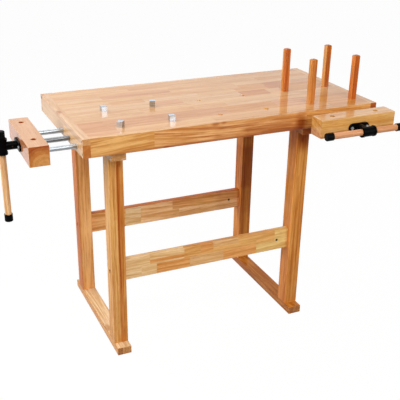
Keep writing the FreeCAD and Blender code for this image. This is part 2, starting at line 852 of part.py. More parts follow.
def make_flange(name, vise):
    """The oval plate on the jaw's outer face, which the screw turns in, and its two bolts."""
    body = new_body(name + "_flange")
    middle = sketch_on(body, "XZ", z="jaw_thick")
    pad(body, rectangle(middle, "flange_length - flange_height", "flange_height"), "flange_thick")
    ends = [
        ("(flange_length - flange_height)/2", "0"),
        ("-(flange_length - flange_height)/2", "0"),
    ]
    plate = pad(
        body, circles(sketch_on(body, "XZ", z="jaw_thick"), "flange_height", ends), "flange_thick"
    )
    outer = -size("jaw_thick") - size("flange_thick")
    dress(body, "Fillet", plate, "flange_round", lambda edge: lies_at(edge, "Y", outer))
    holes(body, "XZ", "jaw_thick", "screw_hole", "flange_thick", [("0", "0")], True)
    bolts = [("flange_bolt_spacing/2", "0"), ("-flange_bolt_spacing/2", "0")]
    holes(body, "XZ", "jaw_thick", "flange_bolt_dia", "flange_thick", bolts, True)
    seat(body, vise)
    length = "flange_thick + flange_bolt_grip"
    screws = [
        headed("flange_bolt", length, (x, "-jaw_thick - flange_thick", z), (0, 1, 0))
        for x, z in bolts
    ]
    seat(group(name + "_flange_bolts", screws), vise)


def make_collar(name, vise):
    """A ring pinned on the screw behind the flange: it pulls the jaw open."""
    body = new_body(name + "_screw_collar")
    ring = circles(sketch_on(body, "XZ", z="jaw_thick - collar_clear/2"), "collar_dia")
    pad(body, ring, "collar_thick", backwards=True)
    holes(body, "XZ", "jaw_thick", "screw_dia", "jaw_thick", [("0", "0")])
    seat(body, vise)


def beside(body, plane, reach, level="0"):
    """A sketch on a plane along the screw, its origin at reach from the jaw's inner face."""
    along = "x" if plane == "YZ" else "y"
    return sketch_on(body, plane, z=level, **{along: f"-({reach})"})


def make_hub(name, vise):
    """A T of cast iron: a neck on the screw and a cross barrel that the handle slides through."""
    body = new_body(name + "_hub")
    reach = "jaw_thick + hub_reach"
    plane = vise["handle_plane"]
    neck = circles(sketch_on(body, "XZ", z=reach), "neck_dia")
    pad(body, neck, "hub_reach - flange_thick - collar_clear", backwards=True)
    pad(body, circles(beside(body, plane, reach), "hub_dia"), "hub_length", both_ways=True)
    for end, inward in (("", True), ("-", False)):
        rim = circles(beside(body, plane, reach, end + "hub_length/2"), "hub_rim_dia")
        pad(body, rim, "hub_rim_width", backwards=inward)
    bore = beside(body, plane, reach, "hub_length/2")
    pocket(body, circles(bore, "handle_dia + 2*handle_clear"), "hub_length")
    holes(body, "XZ", "jaw_thick", "screw_dia", "screw_in_hub", [("0", "0")], True)
    pin_reach = "jaw_thick + hub_pin_place"
    cross = beside(body, vise["pin_plane"], pin_reach, "neck_dia/2")
    pocket(body, circles(cross, "hub_pin_dia"), "neck_dia")
    seat(body, vise)
    start = across(vise["pin_turn"], f"-({pin_reach})", "-neck_dia/2")
    pin = cylinder("hub_pin_dia", "neck_dia", *start, vise["pin_turn"])
    seat(group(name + "_hub_pin", [pin]), vise)


def make_handle(name, vise):
    """A wooden bar through the hub, a cap on each end to keep it there."""
    turn = vise["handle_turn"]

    def along(distance):
        """A place on the bar's own axis, measured from the bar's middle."""
        return across(turn, "-jaw_thick - hub_reach", f"{vise['handle_shift']} + ({distance})")

    bar = cylinder("handle_dia", "2*bar_end", *along("-bar_end"), turn)
    seat(group(name + "_handle_bar", [bar]), vise)
    caps = []
    ends = (
        ("-handle_length/2", "-bar_end", LOW_RIM),
        ("handle_length/2 - cap_length", "bar_end - cap_socket", HIGH_RIM),
    )
    for shell_start, socket_start, rim in ends:
        shell = doc.addObject("Part::Fillet", "Shell")
        shell.Base = cylinder("cap_dia", "cap_length", *along(shell_start), turn)
        shell.Edges = [(rim, size("cap_round"), size("cap_round"))]
        cap = doc.addObject("Part::Cut", "Cap")
        cap.Base = shell
        cap.Tool = cylinder("handle_dia", "cap_socket", *along(socket_start), turn)
        caps.append(cap)
    seat(group(name + "_handle_caps", caps), vise)


# ---------------------------------------------------------------- dogs and pegs


def make_stop(label, side, height, edge, number, row, degrees, grooves=()):
    """A square stop with a round shank that drops into a dog hole."""
    body = new_body(label)
    head = pad(body, rectangle(sketch_on(body, "XY"), side, side), height)
    top = size(height)
    dress(body, "Chamfer", head, edge, lambda rim: lies_at(rim, "Z", top))
    shank = pad(body, circles(sketch_on(body, "XY"), "shank_dia"), "shank_length", backwards=True)
    tip = -size("shank_length")
    dress(body, "Chamfer", shank, "shank_edge", lambda rim: lies_at(rim, "Z", tip))
    for level in grooves:
        slot = rectangle(sketch_on(body, "XZ", y=level, z=f"{side}/2"), side, "dog_groove")
        pocket(body, slot, "dog_groove/2")
    place(
        body,
        "bench_left + " + column(number),
        "bench_front + " + dog_row(row),
        "bench_height",
        Rotation(Vector(0, 0, 1), degrees),
    )


# Where each stop stands: its column, counted from the left for a dog and from the right for
# a peg, its row, counted from the front, and how far it is turned in its hole.
DOGS = [(0, 1, 3), (0, 0, 47), (1, 1, -20), (1, 0, -5)]
PEGS = [(1, 1, 9), (1, 0, 6), (0, 1, -2), (0, 0, 4)]


def make_stops():
    levels = ["dog_height*0.3", "dog_height*0.5", "dog_height*0.7"]
    leftmost = count_columns() - 1
    sizes = ("dog_side", "dog_height", "dog_edge")
    for number, (place_in_row, row, degrees) in enumerate(DOGS, start=1):
        spot = (leftmost - place_in_row, row, degrees)
        make_stop(f"steel_dog_{number}", *sizes, *spot, levels)
    sizes = ("peg_side", "peg_height", "peg_edge")
    for number, spot in enumerate(PEGS, start=1):
        make_stop(f"wooden_peg_{number}", *sizes, *spot)


# ---------------------------------------------------------------- build, check and write


def build():
    make_panel()
    make_aprons()
    make_end_boards()
    make_corner_screws()
    make_bearers()
    make_legs()
    make_cross_boards()
    make_stretchers()
    make_frame_fasteners()
    for name, vise in VISES.items():
        make_jaw(name, vise)
        make_guide_rods(name, vise)
        make_screw(name, vise)
        make_guide_plate(name, vise)
        make_flange(name, vise)
        make_collar(name, vise)
        make_hub(name, vise)
        make_handle(name, vise)
    make_stops()


def check():
    """Every object has to be up to date, and every sub-part's shape whole and valid."""
    doc.recompute()
    for thing in doc.Objects:
        if "Invalid" in thing.State or "Error" in thing.State:
            raise RuntimeError(f"{thing.Label} ({thing.Name}) is {thing.State}")
    for thing in sub_parts:
        if thing.Shape.isNull() or not thing.Shape.isValid() or not thing.Shape.Solids:
            raise RuntimeError(f"{thing.Label} has no valid solid")


def write():
    os.makedirs("parts", exist_ok=True)
    for thing in sub_parts:
        thing.Shape.exportStep(os.path.join("parts", thing.Label + ".step"))
        print(f"{thing.Label}: {len(thing.Shape.Solids)} solids, {thing.Shape.Volume:.0f} mm3")


build()
check()
write()
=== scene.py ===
import math

import bmesh
import bpy
from mathutils import Matrix, Vector


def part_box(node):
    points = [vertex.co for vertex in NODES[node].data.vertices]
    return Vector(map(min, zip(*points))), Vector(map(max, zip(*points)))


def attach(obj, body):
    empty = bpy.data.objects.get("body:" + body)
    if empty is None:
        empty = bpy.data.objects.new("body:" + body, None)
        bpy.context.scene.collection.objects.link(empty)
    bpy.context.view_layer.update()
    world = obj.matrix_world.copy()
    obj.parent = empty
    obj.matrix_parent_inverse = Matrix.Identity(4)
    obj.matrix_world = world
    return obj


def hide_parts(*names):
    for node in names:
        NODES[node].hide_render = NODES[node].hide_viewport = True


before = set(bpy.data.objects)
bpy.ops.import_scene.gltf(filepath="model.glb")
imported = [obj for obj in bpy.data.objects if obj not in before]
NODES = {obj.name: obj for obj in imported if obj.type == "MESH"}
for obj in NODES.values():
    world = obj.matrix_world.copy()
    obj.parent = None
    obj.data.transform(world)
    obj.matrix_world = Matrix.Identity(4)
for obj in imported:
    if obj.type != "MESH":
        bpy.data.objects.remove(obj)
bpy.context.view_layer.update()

# Lengths are in metres. X runs to the bench's right end, Y to its back and Z up.
MM = 0.001
X, Y, Z = 0, 1, 2
BL, BF = -0.443, -0.1945  # the left end and the front of the bench

# ---------------------------------------------------------------- numbers on sockets


class Wire:
    """A number that comes out of a node. Arithmetic on it adds Math nodes."""

    def __init__(self, finish, socket):
        self.finish, self.socket = finish, socket

    def __add__(self, other):
        return self.finish.math("ADD", self, other)

    def __sub__(self, other):
        return self.finish.math("SUBTRACT", self, other)

    def __rsub__(self, other):
        return self.finish.math("SUBTRACT", other, self)

    def __mul__(self, other):
        return self.finish.math("MULTIPLY", self, other)

    def __gt__(self, other):
        return self.finish.math("GREATER_THAN", self, other)

    def __abs__(self):
        return self.finish.math("ABSOLUTE", self)

    __radd__ = __add__
    __rmul__ = __mul__

    def clamped(self):
        return self.finish.math("ADD", self, 0.0, use_clamp=True)


class Finish:
    """A material, and the nodes that paint it."""

    def __init__(self, name, tree=None):
        if tree is None:
            self.material = bpy.data.materials.new(name)
            self.material.use_nodes = True
            tree = self.material.node_tree
        self.tree = tree
        self.tree.nodes.clear()

    def node(self, kind, settings=None, sockets=None, output=0):
        """A node of a kind: its settings first, then the values or links of its sockets."""
        made = self.tree.nodes.new("ShaderNode" + kind)
        for key, value in (settings or {}).items():
            setattr(made, key, value)
        for key, value in (sockets or {}).items():
            if isinstance(value, Wire):
                self.tree.links.new(value.socket, made.inputs[key])
            else:
                made.inputs[key].default_value = value
        return Wire(self, made.outputs[output]) if made.outputs else None

    def math(self, operation, *values, use_clamp=False):
        settings = {"operation": operation, "use_clamp": use_clamp}
        return self.node("Math", settings, dict(enumerate(values)))

    def vector(self, operation, *values, output=0):
        return self.node("VectorMath", {"operation": operation}, dict(enumerate(values)), output)

    def parts(self, vector):
        """The three numbers of a vector."""
        first = self.node("SeparateXYZ", None, {0: vector})
        outputs = first.socket.node.outputs
        return [Wire(self, outputs[i]) for i in range(3)]

    def joined(self, x, y, z):
        return self.node("CombineXYZ", None, {0: x, 1: y, 2: z})

    def mix(self, share, first, second, way="MIX"):
        """A colour between two colours, or a second one laid over the first."""
        settings = {"data_type": "RGBA", "blend_type": way, "clamp_factor": True}
        colours = [v if isinstance(v, Wire) else (*v[:3], 1) for v in (first, second)]
        return self.node("Mix", settings, {0: share, 6: colours[0], 7: colours[1]}, 2)

    def times(self, colour, factors):
        """A colour with its red, green and blue multiplied."""
        return self.mix(1.0, colour, factors, "MULTIPLY")

    def toward(self, share, colour, factors):
        """A colour that a share from 0 to 1 takes towards itself times the factors."""
        return self.mix(share, colour, self.times(colour, factors))

    def length(self, x, y, z):
        """How far a point lies from the origin."""
        return self.vector("LENGTH", self.joined(x, y, z), output="Value")

    def noise(self, vector, scale, detail=2.0, roughness=0.5):
        sockets = {"Vector": vector, "Scale": scale, "Detail": detail, "Roughness": roughness}
        return self.node("TexNoise", None, sockets, "Fac")

    def luck(self, number):
        """Three fixed random numbers from 0 to 1 for each number."""
        settings = {"noise_dimensions": "1D"}
        return self.parts(self.node("TexWhiteNoise", settings, {"W": number}, "Color"))

    def place(self):
        """The point on the piece, in its own metres."""
        return self.node("TexCoord", None, None, "Object")

    def facing(self):
        """Which way the surface faces, as the three numbers of its normal."""
        return self.parts(self.node("TexCoord", None, None, "Normal"))

    def smooth(self, number, low, high):
        """From 0 to 1 as a number goes from low to high."""
        settings = {"interpolation_type": "SMOOTHSTEP"}
        return self.node("MapRange", settings, {0: number, 1: low, 2: high, 3: 0.0, 4: 1.0})

    def bump(self, height, strength, distance):
        sockets = {"Height": height, "Strength": strength, "Distance": distance}
        return self.node("Bump", None, sockets, "Normal")

    def shade(self, **sockets):
        """Ends the material in a Principled shader. An underscore in a name stands for a space."""
        named = {k.replace("_", " "): v for k, v in sockets.items()}
        shader = self.node("BsdfPrincipled", None, named, "BSDF")
        self.node("OutputMaterial", None, {"Surface": shader})
        return self.material


def tint(code):
    """Linear red, green and blue of a colour written as six hex digits."""
    levels = [int(code[i : i + 2], 16) / 255 for i in (0, 2, 4)]
    return tuple(v / 12.92 if v <= 0.04045 else ((v + 0.055) / 1.055) ** 2.4 for v in levels)


def scaled(colour, factors):
    """A plain colour with its red, green and blue multiplied, at most 1."""
    return tuple(min(1.0, c * f) for c, f in zip(colour, factors))


def placed(name, data):
    """A new object in the scene."""
    thing = bpy.data.objects.new(name, data)
    bpy.context.scene.collection.objects.link(thing)
    return thing


def meshed(name, shape):
    """The mesh of a shape, which is used up."""
    mesh = bpy.data.meshes.new(name)
    shape.to_mesh(mesh)
    shape.free()
    return mesh


# ---------------------------------------------------------------- wood

TONES = {
    # the top
    "oat": "d0a273",
    "beech": "cc9760",
    "biscuit": "ce9c66",
    "blush": "c68c5a",
    "toast": "c68844",
    "ember": "bb7532",
    # boards round the top, and the jaws
    "straw": "cda278",
    "shell": "d2a87c",
    "sand": "eab878",
    "honey": "db9f58",
    "amber": "dda061",
    "copper": "c87a38",
    "end light": "daa670",
    "end dark": "c9803a",
    "end red": "b05c22",
    "end honey": "da9e5a",
    "end orange": "d08a44",
    "end copper": "bf7434",
    "end pale": "cf9a62",
    "end brown": "b47a44",
    "maize": "d4a05a",
    "brass": "d1924e",
    "salmon": "bb784a",
    "nougat": "c8956a",
    # the frame
    "pearl": "f2ca92",
    "melon": "f6c084",
    "cream": "e8be86",
    "oyster": "e1bb8c",
    "wheat": "dfac72",
    "marmalade": "de9a55",
    "apricot": "eeac66",
    "carrot": "eb9a4e",
    "cinnamon": "ce883e",
    "russet": "c4702c",
    "chestnut": "bc742a",
    "walnut": "a5581a",
    "chalk": "d2aa80",
    "custard": "e2b870",
    # pegs and handles
    "clove": "b3601f",
    "rust": "b05618",
    "peg": "bc662c",
    "nutmeg": "bf7432",
    "pumpkin": "d79a56",
    "tangerine": "cf7a38",
    "caramel": "cf9457",
    "ash": "e0ae7a",
    "clay": "cb8f62",
}

# What a tone's red, green and blue are multiplied by in the kinds of wood that lie in a stave.
LIGHT_WOOD = (1.15, 1.28, 1.50)
DARK_WOOD = (0.85, 0.72, 0.50)
# The heartwood colour below also darkens the streaks and knots that are painted shade.
HEART_AND_SHADE = (0.66, 0.42, 0.22)
END_WOOD = (0.84, 0.70, 0.54)
PORE_WOOD = (0.72, 0.48, 0.32)
HOLE_WALL = (1.35, 1.75, 2.40)

LAYERS = {  # how drawn out along the grain, lines a metre across it, detail, roughness
    "wander": (1.8, 36.0, 2.0, 0.5),
    "bands": (4.0, 90.0, 3.0, 0.6),
    "fibres": (12.0, 330.0, 3.0, 0.65),
    "clouds": (4.0, 14.0, 2.0, 0.5),
    "veins": (3.0, 130.0, 3.0, 0.6),
    "pores": (45.0, 480.0, 1.0, 0.5),
}
BAND_DEPTH, FIBRE_DEPTH, CLOUD_DEPTH = 2.6, 1.8, 1.5  # how much each layer darkens the wood
RING_DEPTH, RING_DEPTH_ON_ENDS = 1.9, 1.2  # the second comes on top of the first on end grain
VEIN_EDGE, PORE_EDGE = (0.51, 0.68), (0.56, 0.70)  # the noise from which they start and are full

LOG_LENGTH, LOG_WIDTH = 5.0, 0.14  # the staves of a board come from anywhere in such a log
SEED_STEP = 17.3  # keeps the staves of two boards from having the same numbers
SWAY_WAVES, SWAY_SPREAD = 2.2, 9.0  # how short the grain's waves are, how unlike in two staves
SWAY_SIDE, SWAY_DEEP = 0.03, 0.016  # how wide they are
RING_WANDER = 0.012  # how far a ring strays from round
RING_LINES, RING_STRETCH = 170.0, 1.3  # rings a metre, and how fast they change along it
RING_SPREAD = 40.0  # keeps the rings of two staves apart
FACES_END, FACES_HOLE = (0.75, 0.95), (0.5, 0.2)  # how squarely a surface faces those ways
END_SHARE, PORE_SHARE = 0.8, 0.4  # how strongly end grain and pores show
WOOD_ROUGHNESS, FIBRE_ROUGHNESS = 0.40, 0.16  # the second is added where fibres are full
FIBRE_HEIGHT, PORE_HEIGHT = 0.5, 0.8

STREAK_FADE = 0.03  # the length over which a streak starts and ends
STREAK_WANDER = 0.008  # how far it strays to the sides
STREAK_EDGE = (1.8, 0.3)  # where it is gone and where it is full, in half widths
KNOT_EDGE = (1.3, 0.3)  # the same for a knot, in radii
KNOT_SLIM, KNOT_ROUGH = 0.45, 0.5  # its width over its length, and how ragged its edge is
ARC_SOFT, ARC_ROUGH = 0.002, 0.004  # how blurred an arc's edge is, and how uneven


def depth_axis(along, across):
    """The axis that is left: a board's depth, seen from its rows."""
    return X + Y + Z - along - across


def laid_out(f, rows, along, across):
    """The tone of the stave at a point and its number, from rows of staves.

    A row is (where it ends across the grain, [(where a stave ends along it, its tone), ...])."""
    tone = number = None
    count = 0
    for index, (_, staves) in enumerate(rows):
        row_tone, row_number = tint(TONES[staves[0][1]]), count
        for (edge, _), (_, name) in zip(staves, staves[1:]):
            count += 1
            past = along > edge
            row_tone = f.mix(past, row_tone, tint(TONES[name]))
            row_number = past * (count - row_number) + row_number
        count += 1
        if index == 0:
            tone, number = row_tone, row_number
        else:
            past = across > rows[index - 1][0]
            tone = f.mix(past, tone, row_tone)
            number = past * (row_number - number) + number
    return tone, number


class Cut:
    """How each stave of a board was cut from its log, and so where a point lies in that log.

    run goes along the grain, side and deep across it, and radius out from the pith. Three fixed
    random numbers move and tilt each stave. A board that is one piece gives its own pith: its
    place across the rows and in the board's depth."""

    def __init__(self, f, axes, along, across, number, pith, slope):
        first, second, third = f.luck(number)
        self.first = first
        self.run = axes[along] + first * LOG_LENGTH
        wave = f.joined(self.run, second * SWAY_SPREAD, third * SWAY_SPREAD)
        sway = f.noise(wave, SWAY_WAVES, detail=1.0) - 0.5
        centre, width = (pith, 0.0) if pith else ((0.0, 0.0), LOG_WIDTH)
        tilt = (second - 0.5) * slope
        side = axes[across] - centre[0] + axes[along] * tilt + (second - 0.5) * width
        deep = axes[depth_axis(along, across)] - centre[1] + (third - 0.5) * width
        self.side = side + sway * SWAY_SIDE
        self.deep = deep + sway * SWAY_DEEP
        self.wander = self.layer(f, "wander")
        self.radius = f.length(0.0, self.side, self.deep) + self.wander * RING_WANDER

    def layer(self, f, name):
        """Noise drawn out along the grain."""
        stretch, fineness, detail, roughness = LAYERS[name]
        where = f.joined(self.run * stretch, self.side * fineness, self.deep * fineness)
        return f.noise(where, scale=1.0, detail=detail, roughness=roughness)

    def rings(self, f):
        """Noise in growth rings round the pith."""
        where = f.joined(
            self.radius * RING_LINES, self.run * RING_STRETCH, self.first * RING_SPREAD
        )
        return f.noise(where, scale=1.0, detail=2.0, roughness=0.55)


def streaked_and_shaded(f, colour, streaks, place_along, place_across, wander):
    """Stripes along the grain, some of dark wood and some of painted shade:
    (place across, half width, from, to, strength) each.
    """
    for spot, half, start, end, strength in streaks:
        off = abs(place_across - spot + (wander - 0.5) * STREAK_WANDER)
        reach = f.smooth(place_along, start, start + STREAK_FADE)
        reach = reach * f.smooth(place_along, end, end - STREAK_FADE)
        there = f.smooth(off, half * STREAK_EDGE[0], half * STREAK_EDGE[1]) * reach
        colour = f.toward(there * strength, colour, HEART_AND_SHADE)
    return colour


def knotted_and_shaded(f, colour, knots, place, along, fibres):
    """Small dark knots, longer along the grain, and a few spots of painted shade:
    (x, y, z, radius, strength) each.
    """
    for x, y, z, size, strength in knots:
        stretch = [1.0 / size] * 3
        stretch[along] = KNOT_SLIM / size
        away = f.vector("MULTIPLY", f.vector("SUBTRACT", place, (x, y, z)), tuple(stretch))
        away = f.vector("LENGTH", away, output="Value") + (fibres - 0.5) * KNOT_ROUGH
        colour = f.toward(f.smooth(away, *KNOT_EDGE) * strength, colour, HEART_AND_SHADE)
    return colour


def arced(f, tone, arcs, cut, bands, end_grain):
    """Darker wood on end faces, going out from the pith: (radius where it starts, tone) each."""
    rim = cut.radius - RING_WANDER / 2 + (bands - 0.5) * ARC_ROUGH
    for edge, darker in arcs:
        past = f.smooth(rim, edge - ARC_SOFT, edge + ARC_SOFT) * end_grain
        tone = f.mix(past, tone, tint(TONES[darker]))
    return tone


def timber(name, along, across, rows, seed, pith=None, figure=1.0, veins=0.5, slope=0.05,
           gloss=0.3, shine=0.13, streaks=(), knots=(), arcs=(), bored=False):
    """Glued staves of a pale, fine-pored hardwood under clear lacquer.

    along and across number the axes of the grain and of the rows of staves. Growth rings lie
    round the pith, so that a board shows bands on its sides and arcs on its ends. figure and
    veins are the strength of bands and of dark veins, slope how far staves lean off the
    board's length, gloss how much lacquer there is and shine how blurred its mirror images
    are. For streaks, knots and arcs see streaked, knotted and arced. On some pieces the
    streaks and knots are painted shade, where another part shadows the wood. The walls of a
    bored piece's holes are paler than its face."""
    f = Finish(name)
    place = f.place()
    axes = f.parts(place)
    facing = f.facing()
    end_grain = f.smooth(abs(facing[along]), *FACES_END)
    tone, number = laid_out(f, rows, axes[along], axes[across])
    cut = Cut(f, axes, along, across, number + seed * SEED_STEP, pith, slope)
    bands, fibres, clouds = (cut.layer(f, layer) for layer in ("bands", "fibres", "clouds"))
    vein = f.smooth(cut.layer(f, "veins"), *VEIN_EDGE)
    pores = f.smooth(cut.layer(f, "pores"), *PORE_EDGE)

    tone = arced(f, tone, arcs, cut, bands, end_grain)
    ring_depth = end_grain * RING_DEPTH_ON_ENDS + RING_DEPTH
    dark = (bands - 0.5) * BAND_DEPTH + (cut.rings(f) - 0.5) * ring_depth
    dark = dark + (fibres - 0.5) * FIBRE_DEPTH + (clouds - 0.5) * CLOUD_DEPTH
    share = (dark * figure + 0.5).clamped()
    colour = f.mix(share, f.times(tone, LIGHT_WOOD), f.times(tone, DARK_WOOD))
    colour = f.mix(vein * veins, colour, f.times(tone, HEART_AND_SHADE))
    colour = streaked_and_shaded(f, colour, streaks, axes[along], axes[across], cut.wander)
    colour = knotted_and_shaded(f, colour, knots, place, along, fibres)
    colour = f.toward(end_grain * END_SHARE, colour, END_WOOD)
    if bored:
        level = abs(facing[depth_axis(along, across)])
        colour = f.toward(f.smooth(level, *FACES_HOLE), colour, HOLE_WALL)
    colour = f.toward(pores * PORE_SHARE, colour, PORE_WOOD)
    relief = fibres * FIBRE_HEIGHT - pores * PORE_HEIGHT
    return f.shade(
        Base_Color=colour,
        Roughness=fibres * FIBRE_ROUGHNESS + WOOD_ROUGHNESS,
        Normal=f.bump(relief, strength=0.22, distance=0.12 * MM),
        Specular_IOR_Level=0.05,
        Coat_Weight=gloss,
        Coat_Roughness=shine,
    )


# ---------------------------------------------------------------- metal and plastic

# What wear multiplies red, green and blue by, and how fine the skin and the worn clouds are.
WORN_METAL, METAL_SKIN, METAL_CLOUDS = (0.55, 0.56, 0.58), 900.0, 60.0
WORN_BLACK, BLACK_CLOUDS = (2.2, 2.1, 2.0), 35.0
WEAR_START, WEAR_RISE = 0.35, 2.0  # the noise from which metal is worn, and how fast it grows
BLACK_WEAR = (0.45, 0.8)  # the noise from which black wears, and where it is full


def plated(name, colour, roughness, worn=0.1):
    """Bare, oiled or plated steel: a fine uneven skin, and clouds where it is worn."""
    f = Finish(name)
    place = f.place()
    skin = f.noise(place, METAL_SKIN)
    clouds = f.noise(place, METAL_CLOUDS, detail=3.0, roughness=0.6)
    wear = (clouds - WEAR_START) * WEAR_RISE * worn
    return f.shade(
        Base_Color=f.mix(wear, colour, scaled(colour, WORN_METAL)),
        Metallic=1.0,
        Roughness=roughness + (skin - 0.5) * 0.12 + (clouds - 0.5) * 0.1,
        Normal=f.bump(skin, strength=0.08, distance=0.05 * MM),
    )


def black(name, colour, roughness, grain, shine):
    """Black paint, moulded plastic or browned steel, with a skin of grain dots a metre."""
    f = Finish(name)
    place = f.place()
    skin = f.noise(place, grain, detail=3.0, roughness=0.6)
    wear = f.smooth(f.noise(place, BLACK_CLOUDS), *BLACK_WEAR)
    return f.shade(
        Base_Color=f.mix(wear, colour, scaled(colour, WORN_BLACK)),
        Roughness=roughness + (skin - 0.5) * 0.2,
        Normal=f.bump(skin, strength=0.2, distance=0.2 * MM),
        Specular_IOR_Level=shine,
    )


# ---------------------------------------------------------------- the vises' screws

CREST, ROOT, LEAD = 9.0 * MM, 7.25 * MM, 4.0 * MM
NOTCH = ((0.0, CREST), (0.3, ROOT), (0.5, ROOT), (0.8, CREST))  # (share of a lead, radius)
TURN_STEPS = 40
WELD = 2e-6  # points nearer than this become one
ON_PLANE = 1e-7  # points nearer than this to a cut lie on it
SHARP_ANGLE = 35  # edges that bend by more degrees stay sharp
SCREW_START, THREAD_START, SCREW_END = -106.95 * MM, -50 * MM, 225 * MM
# The screws' places are counted from here, the middle of each jaw's inner face, to the bench.
SEATS = {
    "end": Matrix.Translation((-0.546, -0.0325, 0.804)) @ Matrix.Rotation(math.pi / 2, 4, "Y"),
    "front": Matrix.Translation((0.532, -0.2275, 0.804)) @ Matrix.Rotation(-math.pi / 2, 4, "X"),
}


def finished(name, shape):
    """The object of a shape, smooth but for its sharp edges."""
    mesh = meshed(name, shape)
    mesh.shade_smooth()
    mesh.set_sharp_from_angle(angle=math.radians(SHARP_ANGLE))
    return placed(name, mesh)


def turned_screw(name, start, thread_start, end, seat):
    """A steel screw with a right-handed thread, made along Z and then seated in its vise.

    The profile's points are one lead apart where they repeat, so that a full turn that climbs
    one lead ends on them. The ends are cut square and closed."""
    before = math.ceil((thread_start - start) / LEAD) + 1
    after = math.ceil((end - thread_start) / LEAD) + 1
    places = [(thread_start - LEAD * i, CREST) for i in range(before, 0, -1)]
    for i in range(after):
        places += [(thread_start + LEAD * (i + share), radius) for share, radius in NOTCH]
    shape = bmesh.new()
    line = [shape.verts.new((radius, 0.0, z)) for z, radius in places]
    edges = [shape.edges.new(pair) for pair in zip(line, line[1:])]
    bmesh.ops.spin(
        shape, geom=line + edges, cent=(0, 0, 0), axis=(0, 0, 1), dvec=(0, 0, LEAD / TURN_STEPS),
        angle=2 * math.pi, steps=TURN_STEPS,
    )
    bmesh.ops.remove_doubles(shape, verts=shape.verts, dist=WELD)
    for z, way in ((start, -1), (end, 1)):
        everything = shape.verts[:] + shape.edges[:] + shape.faces[:]
        bmesh.ops.bisect_plane(
            shape, geom=everything, dist=ON_PLANE, plane_co=(0, 0, z), plane_no=(0, 0, way),
            clear_outer=True,
        )
    bmesh.ops.holes_fill(shape, edges=[e for e in shape.edges if e.is_boundary], sides=0)
    bmesh.ops.recalc_face_normals(shape, faces=shape.faces)
    bmesh.ops.transform(shape, matrix=seat, verts=shape.verts)
    return finished(name, shape)


# ---------------------------------------------------------------- the wooden pieces

ON = 9.0  # past every piece: the last row or stave runs on to the piece's edge
# The front ends of boards that run to the back have tones of their own, as far in as this.
SIDE_SKIN, RAIL_SKIN, FOOT_SKIN = BF + 0.0015, BF + 0.011, BF + 0.010
FOOT_SIDE, FOOT_STAVE = 0.0012, 0.019  # a foot's left face and left stave, from its left side
PEG_SIDE = 0.0014  # a peg's left face, from its left side
TOP_SKIN, JAW_SKIN = 0.8478, 0.8425  # above these lie the top faces of boards and of jaws


def dress(node, finish):
    """Gives all of a node one finish."""
    for slot in NODES[node].material_slots:
        slot.material = finish


def wooden(node, along, across, rows, seed, name=None, **looks):
    """Gives a node a wood of its own, see timber."""
    name = name or node.replace("_", " ")
    dress(node, timber(name + " wood", along, across, rows, seed, **looks))


def one(tone):
    """The rows of a piece that is a single stave."""
    return [(ON, [(ON, tone)])]


def strips(low, ends):
    """Rows of one stave each, from (tone, where it ends from a piece's low side)."""
    return [(low + edge, one(tone)[0][1]) for tone, edge in ends]


PANEL_ROWS = [
    (-0.115, [(-0.310, "blush"), (-0.065, "beech"), (0.030, "biscuit"), (0.500, "beech"),
              (ON, "toast")]),
    (-0.033, [(-0.330, "blush"), (0.120, "blush"), (0.320, "toast"), (0.470, "blush"),
              (ON, "toast")]),
    (0.0135, [(-0.160, "oat"), (0.023, "beech"), (0.152, "beech"), (0.360, "oat"), (ON, "beech")]),
    (0.045, [(-0.170, "oat"), (0.030, "biscuit"), (ON, "biscuit")]),
    (0.058, [(0.020, "oat"), (0.255, "oat"), (ON, "biscuit")]),
    (0.121, [(-0.090, "oat"), (0.014, "blush"), (0.262, "oat"), (0.377, "ember"), (0.440, "beech"),
             (ON, "toast")]),
    (0.166, [(-0.243, "oat"), (-0.113, "beech"), (0.105, "oat"), (0.265, "biscuit"),
             (0.400, "toast"), (0.497, "ember"), (ON, "toast")]),
    (0.207, [(-0.060, "biscuit"), (0.300, "beech"), (0.410, "toast"), (0.497, "ember"),
             (ON, "blush")]),
    (0.250, [(-0.250, "oat"), (0.024, "blush"), (0.300, "beech"), (ON, "biscuit")]),
    (0.285, [(0.030, "beech"), (0.420, "beech"), (ON, "toast")]),
    (0.325, [(-0.120, "biscuit"), (0.260, "beech"), (ON, "biscuit")]),
    (ON, [(0.000, "beech"), (0.350, "beech"), (ON, "blush")]),
]
wooden("top_panel", X, Y, PANEL_ROWS, 3, "panel", figure=0.6, veins=0.18, gloss=0.9, shine=0.08,
       bored=True)

APRON_ROWS = [
    (TOP_SKIN, [(-0.201, "honey"), (0.378, "amber"), (ON, "honey")]),
    (ON, [(ON, "biscuit")]),
]
APRON_STREAKS_AND_SHADE = [
    (0.820, 0.004, -0.150, 0.000, 0.5),
    (0.806, 0.003, -0.120, 0.060, 0.5),
    (0.829, 0.005, 0.020, 0.200, 0.55),
    (0.812, 0.005, 0.110, 0.340, 0.6),
    (0.794, 0.004, 0.180, 0.380, 0.6),
    (0.836, 0.003, 0.220, 0.370, 0.5),
    # Partly dark wood, partly painted shade: these two streaks darken the apron's bottom edge,
    # which lies in shade.
    (0.786, 0.005, -0.430, 0.900, 0.65),
    (0.787, 0.006, -0.260, 0.200, 0.60),
    (0.838, 0.0025, -0.060, 0.060, 0.45),
    (0.825, 0.002, 0.060, 0.170, 0.55),
    (0.799, 0.0025, 0.000, 0.130, 0.50),
    (0.818, 0.0025, 0.180, 0.300, 0.45),
    (0.808, 0.035, 0.000, 0.384, 0.26),
    (0.802, 0.035, 0.120, 0.384, 0.28),
    (0.791, 0.006, -0.180, 0.384, 0.40),
    # Painted shadow over darker wood: these two streaks darken the apron beside the front jaw,
    # where the jaw shadows it.
    (0.812, 0.030, 0.322, 0.390, 0.90),
    (0.806, 0.016, 0.340, 0.390, 0.50),
]
